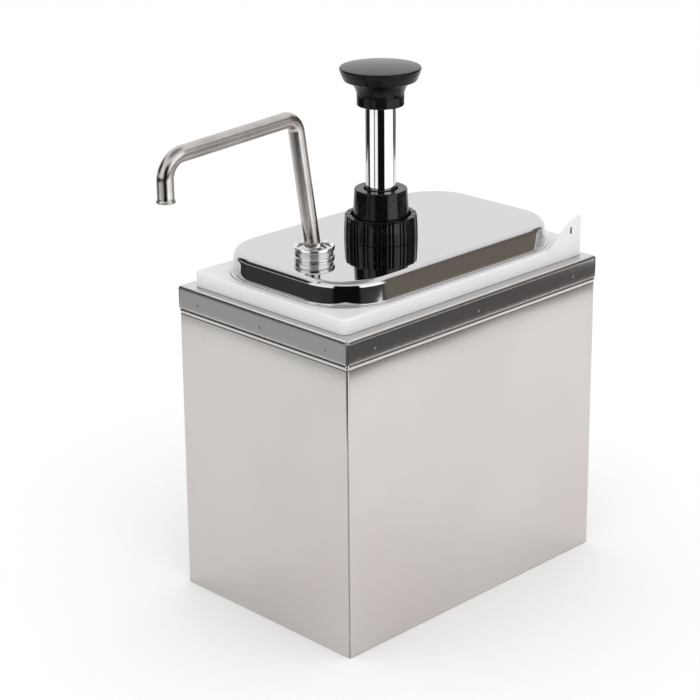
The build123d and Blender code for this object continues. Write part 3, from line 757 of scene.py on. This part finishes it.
def tub_ear():
    """Upstanding ear round one corner of the rim: a gentle slope along the side, a steep one at the back."""
    top = TUB_HIGH.z
    corner_x = RIM_W / 2 - RIM_R
    back_y = INNER_Y + RIM_D / 2
    corner_y = back_y - RIM_R
    crest_y = corner_y - EAR_FLAT
    side_run = (top - RIM_TOP) / SIDE_SLOPE
    back_run = (top - RIM_TOP) / BACK_SLOPE
    side_steps = 16
    back_steps = 10
    path = []
    for step in range(side_steps + 1):
        path.append((Vector((RIM_W / 2, crest_y - side_run * (1 - step / side_steps))), Vector((1, 0))))
    path.append((Vector((RIM_W / 2, corner_y - 2.0)), Vector((1, 0))))
    for step in range(back_steps + 1):
        angle = math.radians(90 * step / back_steps)
        out = Vector((math.cos(angle), math.sin(angle)))
        path.append((Vector((corner_x, corner_y)) + out * RIM_R, out))
    for step in range(1, back_steps + 1):
        path.append((Vector((corner_x - back_run * (step / back_steps), back_y)), Vector((0, 1))))
    points = []
    root = RIM_TOP - 1.0
    ease = 3.0
    for spot, out in path:
        fall = max((crest_y - spot.y) * SIDE_SLOPE, (corner_x - spot.x) * BACK_SLOPE, -ease)
        fall = (fall + ease) ** 2 / (4 * ease) if fall < ease else fall
        crest = max(top - fall, RIM_TOP + 0.2)
        section = softened([(0.05, root, 0), (0.05, crest, 0.5), (1.7, crest, 0.6), (1.7, root, 0)], 4)
        for point in section:
            place = spot - out * point.x
            points.append((place.x, place.y, point.y))
    size = len(points) // len(path)
    faces = ring_faces(len(path), size, False)
    faces.append(tuple(range(size)))
    faces.append(tuple(range(len(points) - size, len(points))))
    mesh = mesh_of("tub_ear", points, faces)
    slot_at = Vector((RIM_W / 2, crest_y - 1.2, (RIM_TOP + top) / 2 + 0.8)) * MM
    solid = bpy.data.objects.new("ear_solid", mesh)
    cutter = bpy.data.objects.new("ear_cutter", slot_cutter(slot_at))
    for thing in (solid, cutter):
        bpy.context.scene.collection.objects.link(thing)
    cut = solid.modifiers.new("slot", "BOOLEAN")
    cut.operation = "DIFFERENCE"
    cut.solver = "EXACT"
    cut.object = cutter
    holed = baked_mesh(solid)
    bpy.data.objects.remove(solid)
    bpy.data.objects.remove(cutter)
    return finished("tub_ear", holed, tub_plastic, "tub")


def slot_cutter(centre):
    """Upright rounded bar that cuts the ear's slot."""
    half = 1.35
    reach = 0.75
    outline = []
    for sign in (1, -1):
        for step in range(13):
            angle = math.radians(180 * step / 12) + (0 if sign > 0 else math.pi)
            outline.append((reach * math.cos(angle), sign * half + reach * math.sin(angle)))
    points = [(x, a, b) for x in (-4.0, 4.0) for a, b in outline]
    count = len(outline)
    faces = ring_faces(2, count, False) + [tuple(range(count)), tuple(range(count, 2 * count))]
    mesh = mesh_of("slot_cutter", points, faces)
    mesh.transform(Matrix.Translation(centre))
    return mesh


# ---- lid ----------------------------------------------------------------
LID_BODY = "lid_and_pump"
PUMP = axis_of("cylinder")
GLAND = axis_of("gland_nut")
LID_TOP = LID_HIGH.z
LIP = 0.8
DRAFT = 1.5
SLEEVE_R = 15.6


def circle_points(centre, radius, z, count):
    turn = 2 * math.pi / count
    return [(centre[0] + radius * math.cos(turn * k), centre[1] + radius * math.sin(turn * k), z)
            for k in range(count)]


def lid_shell():
    """Pressed lid: flat top with two holes, rounded edge, drafted skirt and thin lip."""
    foot_w = LID_HIGH.x - LID_LOW.x
    foot_d = LID_HIGH.y - LID_LOW.y
    skirt = (foot_w - 2 * LIP - 2 * DRAFT, foot_d - 2 * LIP - 2 * DRAFT, 30.3)
    low = RIM_TOP
    top = LID_TOP
    outer = softened([
        (-8.0, top, 0), (0.1, top, 3.6), (DRAFT * 0.9, low + 0.75, 1.7), (DRAFT + LIP, low + 0.5, 0.2),
        (DRAFT + LIP, low, 0.22), (DRAFT - 0.4, low, 0.8), (-SHEET, top - SHEET, 2.4),
        (-8.0, top - SHEET, 0)], 10)
    rings = around(skirt, outer, INNER_Y, 32)
    holes = [(PUMP, radius_of("pump_head") - 3.6, 72), (GLAND, radius_of("gland_body") - 3.3, 48)]
    size = len(rings[0])
    work = bmesh.new()
    work.from_mesh(shell("lid_rim", rings, closed=False))
    verts = list(work.verts)
    borders = {}
    for z, loop in ((top, verts[:size]), (top - SHEET, verts[-size:])):
        edges = [work.edges.get((loop[spot], loop[(spot + 1) % size])) for spot in range(size)]
        for number, (centre, radius, count) in enumerate(holes):
            circle = [work.verts.new(Vector(p) * MM) for p in circle_points(centre, radius, z, count)]
            edges += [work.edges.new((circle[k], circle[(k + 1) % count])) for k in range(count)]
            borders.setdefault(number, []).append(circle)
        bmesh.ops.triangle_fill(work, edges=edges, use_beauty=True)
    for upper, lower in borders.values():
        for k in range(len(upper)):
            beside = (k + 1) % len(upper)
            work.faces.new((upper[k], upper[beside], lower[beside], lower[k]))
    mesh = bpy.data.meshes.new("lid_shell")
    work.to_mesh(mesh)
    work.free()
    return finished("lid_shell", mesh, lid_steel, LID_BODY, ["lid_cover"])


# ---- pump above the lid -------------------------------------------------
HEAD_LOW, HEAD_HIGH = span("pump_head")
NUT_LOW, NUT_HIGH = span("lock_nut")
KNOB_LOW, KNOB_HIGH = span("knob")
TUBE_LOW, TUBE_HIGH = span("plunger_tube")
CYL_LOW, CYL_HIGH = span("cylinder")
TUBE_R = radius_of("plunger_tube")
KNOB_R = radius_of("knob")
NUT_R = radius_of("lock_nut")
NUT_RIBS = 18


def head_sleeve():
    """Threaded sleeve that passes through the lid, with its socket for the cylinder."""
    flange_r = radius_of("pump_head")
    flange_top = LID_TOP - SHEET - 1.0
    top = HEAD_HIGH.z
    mouth_r = 14.7
    plunger_hole = 9.4
    bush_r = radius_of("guide_bush")
    bush_low = span("guide_bush")[0].z
    cyl_r = radius_of("cylinder")
    corners = [
        (plunger_hole, CYL_HIGH.z, 0.2), (plunger_hole, bush_low, 0), (bush_r, bush_low, 0),
        (bush_r, top - 2.4, 0.4), (9.5, top - 1.9, 0.3), (9.5, top - 0.1, 0.5), (mouth_r, top, 0.7),
        (SLEEVE_R - 0.1, NUT_HIGH.z + 0.4, 0.2), (SLEEVE_R, NUT_HIGH.z, 0), (SLEEVE_R, flange_top, 0),
        (flange_r, flange_top, 0.4), (flange_r, flange_top - 3, 0.6), (cyl_r + 2, flange_top - 3, 0.8),
        (cyl_r + 2, HEAD_LOW.z, 0.5), (cyl_r, HEAD_LOW.z, 0.2), (cyl_r, CYL_HIGH.z, 0)]
    return lathe("head_sleeve", corners, PUMP, gloss_black, LID_BODY, ["pump_head"], 5, 128)


def rib_mesh(half, levels, drops):
    """One upright rib at angle zero: levels are (height, sink, share of width), drops shape it across."""
    points = []
    for z, sink, wide in levels:
        for side, drop in drops:
            radius = NUT_R + sink + drop
            angle = half * side * wide
            points.append((radius * math.cos(angle), radius * math.sin(angle), z))
    faces = ring_faces(len(levels), len(drops), False)
    faces.append(tuple(range(len(drops))))
    faces.append(tuple(range(len(points) - len(drops), len(points))))
    return mesh_of("rib", points, faces)


def ribbed_nut():
    """Lock nut: smooth core, broad flat ribs round it and a narrow bead in each gap."""
    low, high = NUT_LOW.z, NUT_HIGH.z
    core_r = NUT_R - 1.5
    inner = 15.66
    pitch = math.pi / NUT_RIBS
    core = lathe_mesh("nut_core", [
        (inner, low, 0.2), (core_r, low, 0.3), (core_r - 0.5, high - 1.0, 0.5),
        (core_r - 1.2, high - 0.2, 0.4), (inner, high - 0.1, 0.2)], PUMP, 5, 108)
    broad_levels = [
        (low + 0.02, -0.30, 0.97), (low + 0.30, 0.0, 1.0), (low + 6.0, -0.1, 1.0), (high - 0.8, -0.50, 1.0),
        (high - 0.3, -0.58, 0.99), (high - 0.05, -0.85, 0.97), (high, -1.3, 0.95), (high, -3.8, 0.90)]
    broad_across = [
        (-1.0, -2.4), (-1.0, -0.42), (-0.93, -0.14), (-0.78, -0.02), (-0.4, 0.0), (0.0, 0.0), (0.4, 0.0),
        (0.78, -0.02), (0.93, -0.14), (1.0, -0.42), (1.0, -2.4)]
    slim_levels = [(z, sink - 0.28, wide) for z, sink, wide in broad_levels]
    slim_across = [
        (-1.0, -2.0), (-1.0, -0.5), (-0.7, -0.12), (0.0, 0.0), (0.7, -0.12), (1.0, -0.5), (1.0, -2.0)]
    rib = rib_mesh(pitch * 0.60, broad_levels, broad_across)
    bead = rib_mesh(pitch * 0.27, slim_levels, slim_across)
    bead.transform(Matrix.Rotation(pitch, 4, "Z"))
    centre = Vector((*PUMP, 0)) * MM
    ribs, beads = (grown(ROUND_AXIS, one, gloss_black, Count=NUT_RIBS, Centre=centre) for one in (rib, bead))
    return finished("ribbed_nut", joined("ribbed_nut", core, ribs, beads), gloss_black, "lock_nut",
                    ["lock_nut"])


def press_knob():
    """Mushroom knob: gently domed cap with a crisp edge, on a flared neck."""
    bottom, top = KNOB_LOW.z, KNOB_HIGH.z
    neck = 13.0
    dome_steps = 12
    flare_steps = 8
    dome = []
    for step in range(dome_steps, -1, -1):
        inward = 1 - step / dome_steps
        dome.append(((KNOB_R - 0.6) * inward, top - 0.9 * inward ** 2, 0))
    flare = []
    for step in range(flare_steps, -1, -1):
        share = step / flare_steps
        flare.append((neck + 4.4 * share ** 2.4, bottom + 4.5 + (top - 8.2 - bottom - 4.5) * share, 0))
    rim = [(KNOB_R - 0.5, top - 0.95, 0.3), (KNOB_R, top - 1.7, 0.5), (KNOB_R - 0.7, top - 4.2, 3.0),
           (KNOB_R - 2.4, top - 8.2, 1.6), (KNOB_R - 4.0, top - 8.6, 0.4)]
    socket = [(neck, bottom, 0.6), (TUBE_R, bottom, 0.15), (TUBE_R, TUBE_HIGH.z, 0), (0.0, TUBE_HIGH.z, 0)]
    corners = [(0.0, top - 4.1, 0)] + dome[:-1] + rim + flare + socket
    return lathe("press_knob", corners, PUMP, knob_black, "plunger", ["knob"], 5, 160)


def chrome_tube():
    low, high = TUBE_LOW.z, TUBE_HIGH.z
    bore = TUBE_R - 1.0
    corners = [(bore, low, 0.2), (TUBE_R, low, 0.3), (TUBE_R, high, 0.2), (bore, high, 0.2)]
    return lathe("chrome_tube", corners, PUMP, chrome_plate, "plunger", ["plunger_tube"],
                 4, 160)


# ---- gland and spout ----------------------------------------------------
GLAND_LOW, GLAND_HIGH = span("gland_nut")
GLAND_R = radius_of("gland_nut")
SPOUT_LOW, SPOUT_HIGH = span("discharge_tube")
FOOT_LOW, FOOT_HIGH = span("tube_foot")
BEAD_R = 0.75
SPOUT_R = (SPOUT_HIGH.x - SPOUT_LOW.x) / 2 - BEAD_R
SPOUT_BORE = SPOUT_R - 1.0
NOZZLE_Y = SPOUT_LOW.y + SPOUT_R + BEAD_R


def gland_ring():
    """Gland nut: rim round an open mouth, two fine grooves and a knurled belt between them."""
    low, high = GLAND_LOW.z, GLAND_HIGH.z
    radius = GLAND_R
    collar = radius_of("gland_body") + 0.06
    bore = radius_of("tube_foot") + 0.3
    seat_top = FOOT_LOW.z + 1.15
    seat_low = FOOT_LOW.z - 0.7
    corners = [
        (collar, low, 0), (radius - 0.2, low, 0.25), (radius - 0.2, low + 1.1, 0.15),
        (radius - 0.75, low + 1.35, 0.15), (radius - 0.75, low + 4.2, 0.15), (radius - 0.2, low + 4.45, 0.15),
        (radius, high - 1.0, 0.3), (radius - 0.3, high, 0.4), (radius - 1.25, high, 0.3),
        (bore - 0.4, seat_top, 0.1), (bore, seat_top, 0), (bore, seat_low, 0), (collar, seat_low, 0)]
    ring = lathe_mesh("gland_ring", corners, GLAND, 5, 128)
    half = 0.42
    depth = 0.5
    ridge_points = []
    for z, sink in ((low + 1.3, 0.45), (low + 1.7, 0.0), (low + 3.85, 0.0), (low + 4.25, 0.45)):
        for side, drop in ((-half, depth), (-half * 0.3, 0.0), (half * 0.3, 0.0), (half, depth)):
            ridge_points.append((radius - 0.3 - sink - drop, side, z))
    faces = ring_faces(4, 4, False) + [(0, 1, 2, 3), (12, 13, 14, 15)]
    ridge = mesh_of("ridge", ridge_points, faces)
    belt = grown(ROUND_AXIS, ridge, gland_chrome, Count=60, Centre=Vector((*GLAND, 0)) * MM)
    return finished("gland_ring", joined("gland_ring", ring, belt), gland_chrome, "gland_nut",
                    ["gland_nut"])


def foot_cone():
    """Flared foot of the spout, smoothly swept into the tube."""
    low, high = FOOT_LOW.z, FOOT_HIGH.z
    flange = radius_of("tube_foot")
    corners = [(3.5, low, 0), (flange, low, 0.25), (flange, low + 0.75, 0.2), (6.9, low + 0.95, 0.4),
               (4.9, low + 2.2, 1.6), (4.55, high - 0.6, 0.15), (3.5, high - 0.6, 0)]
    return lathe("foot_cone", corners, GLAND, foot_steel, "spout", ["tube_foot"], 6, 96)


def spout_route():
    """Centre line of the spout in its own plane: (y, z) points, each with its share of bend."""
    start = Vector((GLAND[1] - 0.85, FOOT_LOW.z + 0.9))
    shoulder = Vector((GLAND[1] - 12.8, FOOT_LOW.z + 74.9))
    drop = Vector((NOZZLE_Y, FOOT_LOW.z + 69.9))
    end = Vector((NOZZLE_Y, FOOT_LOW.z + 47.3))
    route = [(start, 0.0)]
    for before, corner, after, radius in ((start, shoulder, drop, 8.0), (shoulder, drop, end, 14.0)):
        bend = softened([(*before, 0), (*corner, radius), (*after, 0)], 28)[1:-1]
        arrive = route[-1][0]
        for step in range(1, 10):
            route.append((arrive.lerp(bend[0], step / 10), 0.0))
        for number, point in enumerate(bend):
            route.append((point, math.sin(math.pi * number / (len(bend) - 1))))
    last = route[-1][0]
    for step in range(1, 9):
        route.append((last.lerp(end, step / 8), 0.0))
    return route


def spout_tube():
    """Bent spout with slightly flattened bends, a rolled nozzle end and a real bore."""
    route = spout_route()
    sides = 64
    flatten = 0.05
    stations = []
    travelled = 0.0
    for index, (spot, bend) in enumerate(route):
        ahead = route[min(index + 1, len(route) - 1)][0]
        behind = route[max(index - 1, 0)][0]
        along = (ahead - behind).normalized()
        travelled += (spot - behind).length if index else 0.0
        stations.append((spot, along, bend, SPOUT_R, travelled))
    end = route[-1][0]
    down = stations[-1][1]
    trimmed = [s for s in stations if (end - s[0]).length > 3.2 or s is stations[0]]
    lip = [(3.0, 0.0), (2.2, 0.0), (1.75, 0.08), (1.5, 0.35), (1.25, 0.62), (0.85, 0.75), (0.45, 0.66),
           (0.12, 0.35), (0.0, -0.1), (0.05, -0.5), (0.35, -0.85), (0.8, -1.0)]
    for back, out in lip:
        trimmed.append((end - down * back, down, 0.0, SPOUT_R + out, travelled - back))
    bore = [(spot, along, bend, SPOUT_BORE, run) for spot, along, bend, _, run in reversed(stations[:-4])]
    stations = trimmed + bore
    points = []
    runs = []
    for spot, along, bend, radius, run in stations:
        across = Vector((-along.y, along.x))
        for side in range(sides):
            angle = 2 * math.pi * side / sides
            lift = radius * math.sin(angle) * (1 - flatten * bend)
            points.append((radius * math.cos(angle), spot.x + across.x * lift, spot.y + across.y * lift))
        runs.append(run)
    mesh = mesh_of("spout_tube", points, ring_faces(len(stations), sides, True))
    layer = mesh.uv_layers.new(name="grain")
    for face in mesh.polygons:
        for corner in face.loop_indices:
            vertex = mesh.loops[corner].vertex_index
            side = vertex % sides
            if side == 0 and any(mesh.loops[c].vertex_index % sides == sides - 1 for c in face.loop_indices):
                side = sides
            layer.data[corner].uv = (side / sides, runs[vertex // sides] * MM)
    return finished("spout_tube", mesh, spout_steel, "spout", ["discharge_tube"], 40)


# ---- pump below the lid -------------------------------------------------
def cylinder_barrel():
    low, high = CYL_LOW.z, CYL_HIGH.z
    radius = radius_of("cylinder")
    corners = [(radius - 1.2, low, 0.2), (radius, low, 0.4), (radius, high, 0.3), (radius - 1.2, high, 0.2)]
    return lathe("cylinder_barrel", corners, PUMP, turned_steel, LID_BODY, ["cylinder"], 4, 128)


def return_coil():
    """Return spring: a coil of round wire round the pump axis, on a mesh of its own."""
    low, high = span("return_spring")
    wire = 0.75
    radius = (high.x - low.x) / 2 - wire
    height = high.z - low.z - 2 * wire
    mesh = grown(COIL, None, spring_steel, Turns=9.0, Radius=radius * MM, Height=height * MM,
                 Wire=wire * MM, Base=Vector((*PUMP, low.z + wire)) * MM, Sides=12)
    coil = finished("return_coil", mesh, spring_steel, LID_BODY, ["return_spring"], 60)
    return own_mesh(coil)


def hex_head(name, node, bore, axis, material):
    """Hexagon nut with chamfered corners."""
    low, high = span(node)
    steps = 72
    chamfer = 0.5
    corner_r = (high.x - low.x) / 2
    flat_r = corner_r * math.cos(math.pi / 6)
    face_r = flat_r * 0.97
    levels = ((low.z, face_r), (low.z + chamfer, corner_r), (high.z - chamfer, corner_r), (high.z, face_r))
    rings = []
    for z, limit in levels:
        ring = []
        for step in range(steps):
            angle = 2 * math.pi * step / steps
            lean = angle + math.pi / 6
            to_flat = flat_r / math.cos((lean % (math.pi / 3)) - math.pi / 6)
            radius = min(to_flat, limit)
            ring.append((axis[0] + radius * math.cos(angle), axis[1] + radius * math.sin(angle), z))
        rings.append(ring)
    for z in (high.z, low.z):
        rings.append(circle_points(axis, bore, z, steps))
    return finished(name, shell(name, rings), material, LID_BODY, [node], 25)


# ---- materials of the CAD nodes that keep their own shape -----------------
KEPT = (
    (rubber, ("lid_gasket", "wiper_seal", "piston_seal", "cylinder_seal", "inlet_seat", "elbow_seal",
        "riser_bush", "gland_washer", "foot_seal")),
    (white_plastic, ("guide_bush", "tube_plug", "piston", "valve_body", "ball_cage", "outlet_elbow")),
    (brass, ("knob_insert",)),
    (turned_steel, ("piston_rod", "rod_nut", "piston_washer", "piston_nut", "spring_seat", "inlet_ball",
        "outlet_ball", "riser_tube")),
    (chrome_plate, ("gland_body",)),
)


def dress_kept_nodes():
    for material, nodes in KEPT:
        for node in nodes:
            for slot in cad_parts[node].material_slots:
                slot.material = material


# ---- studio -------------------------------------------------------------
def table_tone():
    """Pale table top as polished steel sees it: a little darker in front than at the side."""
    finish = Finish("table_tone")
    place = finish.place()
    x, y, z = finish.split(place)
    side = finish.step(x + y * 0.9, -0.20, 0.10)
    cloud = finish.noise(place, 5.0, 2.0)
    tint = finish.blend(side, (0.82, 0.80, 0.79), (0.90, 0.88, 0.865))
    tint = finish.blend(cloud * 0.12, tint, (0.80, 0.74, 0.76))
    return finish.feed(Base_Color=tint, Roughness=0.7 + (cloud - 0.5) * 0.1)


def studio_floor():
    """Wide pale floor for the camera, and a table top just above it that only reflections see."""
    half = 9000.0
    sheets = (("table_reflected", (-900.0, 364.0), (-394.0, 900.0), 0.3, table_tone(), True),
              ("floor", (-half, half), (-half, half), 0.0, pale_floor(), False))
    for name, (left, right), (near, far), height, material, reflected in sheets:
        corners = [(left, near, height), (right, near, height), (right, far, height), (left, far, height)]
        sheet = bpy.data.objects.new(name, mesh_of(name, corners, [(0, 1, 2, 3)]))
        sheet.data.materials.append(material)
        bpy.context.scene.collection.objects.link(sheet)
        sheet.visible_glossy = reflected
        sheet.visible_camera = not reflected
        sheet.visible_diffuse = not reflected
        sheet.visible_shadow = not reflected


CAMERA_AT = Vector((0.7651, -0.78846, 0.54177))
CAMERA_TURN = math.radians(45.337)
CAMERA_TILT = math.radians(17.671)
CAMERA_ROLL = math.radians(-0.509)


def studio_camera():
    data = bpy.data.cameras.new("camera")
    data.sensor_width = 36.0
    data.lens = 105.97
    data.shift_y = -0.1429
    data.clip_start = 0.05
    data.clip_end = 50.0
    camera = bpy.data.objects.new("camera", data)
    level = math.cos(CAMERA_TILT)
    back = Vector((math.sin(CAMERA_TURN) * level, -math.cos(CAMERA_TURN) * level, math.sin(CAMERA_TILT)))
    right = Vector((math.cos(CAMERA_TURN), math.sin(CAMERA_TURN), 0))
    up = back.cross(right)
    leaned = right * math.cos(CAMERA_ROLL) + up * math.sin(CAMERA_ROLL)
    raised = up * math.cos(CAMERA_ROLL) - right * math.sin(CAMERA_ROLL)
    turn = Matrix((leaned, raised, back)).transposed()
    camera.matrix_world = Matrix.Translation(CAMERA_AT) @ turn.to_4x4()
    bpy.context.scene.collection.objects.link(camera)
    bpy.context.scene.camera = camera


def studio_world():
    """White room for diffuse light; gloss sees softboxes, dark gaps and a backdrop round the horizon."""
    world = bpy.data.worlds.new("studio")
    bpy.context.scene.world = world
    world.use_nodes = True
    sky = Nodes(world.node_tree)
    x, y, z = sky.split(sky.add("ShaderNodeTexCoord").outputs["Generated"])
    front = (math.sin(CAMERA_TURN), -math.cos(CAMERA_TURN))
    side = (math.cos(CAMERA_TURN), math.sin(CAMERA_TURN))
    ahead = x * front[0] + y * front[1]
    aside = x * side[0] + y * side[1]
    bearing = aside.calc("ARCTAN2", aside, ahead) * (0.5 / math.pi) + 0.5

    def ring(*stops):
        """Shades round the horizon, at degrees from the camera's side of the object."""
        places = [((degrees + 180) / 360, shade) for degrees, shade in stops]
        return sky.add("ShaderNodeValToRGB", {"stops": places}, {"Fac": bearing}).outputs[0]

    brown = (0.17, 0.145, 0.13)
    warm_dark = [(84, (0.17, 0.15, 0.125)), (100, (0.22, 0.195, 0.16)), (130, brown)]
    brown_card = [(86, brown), (128, brown)]
    black = 0.006
    back_left = [(-180, 1.0), (-134, 1.0)]
    back_right = [(142, 1.0), (180, 1.0)]
    gap = [(-23, black), (25, black)]
    table = ring((-180, 1.0), (-135, 1.0), (-110, 0.45), (-70, 0.40), (-28, 0.2), (-24, black), (26, black),
                 (31, 1.6), (64, 1.2), (74, 0.11), (132, (0.10, 0.085, 0.08)), *back_right)
    waist = ring((-180, 0.5), (-140, 0.35), (-130, 0.02), (-92, 0.02), (-86, 1.3), (-50, 1.3), (-47, 0.3),
                 (-43, 1.2), (-26, 1.2), (-21, black), (27, black), (33, 2.0), (98, 1.8), (106, brown),
                 (155, brown), (180, 0.4))
    collar = ring(*back_left, (-126, 0.03), (-95, 0.05), (-66, 0.05), (-60, 0.6), (-28, 0.6), *gap,
                  (31, 2.0), (68, 1.6), (75, 0.06), *warm_dark, *back_right)
    skirt = ring(*back_left, (-126, 0.03), (-95, 0.05), (-60, 0.05), (-28, 0.035), *gap, (30, 0.04),
                 (74, 0.05), *warm_dark, *back_right)
    upper = ring(*back_left, (-126, 0.03), (-82, 0.04), (-74, 1.2), (-28, 1.2), *gap, (30, 1.5), (76, 1.5),
                 *brown_card, *back_right)
    strip = ring(*back_left, (-124, 0.03), (-118, 1.3), (-28, 1.3), *gap, (30, 1.5), (76, 1.5),
                 *brown_card, *back_right)
    room = table
    for low, high, above in ((-0.302, -0.290, waist), (-0.240, -0.228, collar), (-0.172, -0.160, skirt),
                             (-0.02, 0.03, upper)):
        room = sky.blend(sky.step(z, low, high), room, above)
    room = sky.blend(sky.step(z, 0.0, 0.02) * sky.step(z, 0.075, 0.05), room, strip)
    room = sky.blend(sky.step(z, 0.50, 0.72), room, 1.0)
    room = sky.blend(sky.step(z, 0.82, 0.95), room, 0.35)
    rays = sky.add("ShaderNodeLightPath")
    gloss = sky.add("ShaderNodeBackground", inputs={"Color": room, "Strength": 1.0})
    soft = sky.add("ShaderNodeBackground", inputs={"Color": (1, 1, 1, 1), "Strength": 1.03})
    plain = sky.add("ShaderNodeBackground", inputs={"Color": (1, 1, 1, 1), "Strength": 1.0})
    lit = sky.add("ShaderNodeMixShader", inputs={
        0: rays.outputs["Is Glossy Ray"], 1: soft.outputs[0], 2: gloss.outputs[0]})
    seen = sky.add("ShaderNodeMixShader", inputs={
        0: rays.outputs["Is Camera Ray"], 1: lit.outputs[0], 2: plain.outputs[0]})
    sky.add("ShaderNodeOutputWorld", inputs={"Surface": seen.outputs[0]})


def studio_lights():
    """One large soft key from the upper front right, kept out of reflections."""
    data = bpy.data.lights.new("key", "AREA")
    data.energy = 4.0
    data.size = 1.4
    key = bpy.data.objects.new("key", data)
    place = Vector((1.1, -0.4, 1.6))
    key.matrix_world = Matrix.Translation(place) @ place.to_track_quat("Z", "Y").to_matrix().to_4x4()
    key.visible_glossy = False
    bpy.context.scene.collection.objects.link(key)


studio_camera()
studio_world()
studio_lights()
studio_floor()
bpy.context.scene.view_settings.view_transform = "Standard"

case_walls()
frame_skirt()
weld_marks()
floor_pan()
tub_shell()
tub_ear()
lid_shell()
head_sleeve()
ribbed_nut()
press_knob()
chrome_tube()
gland_ring()
foot_cone()
spout_tube()
cylinder_barrel()
return_coil()
hex_head("riser_hex", "riser_nut", 4.5, GLAND, turned_steel)
hex_head("gland_hex", "gland_backnut", 6.0, GLAND, turned_steel)
dress_kept_nodes()
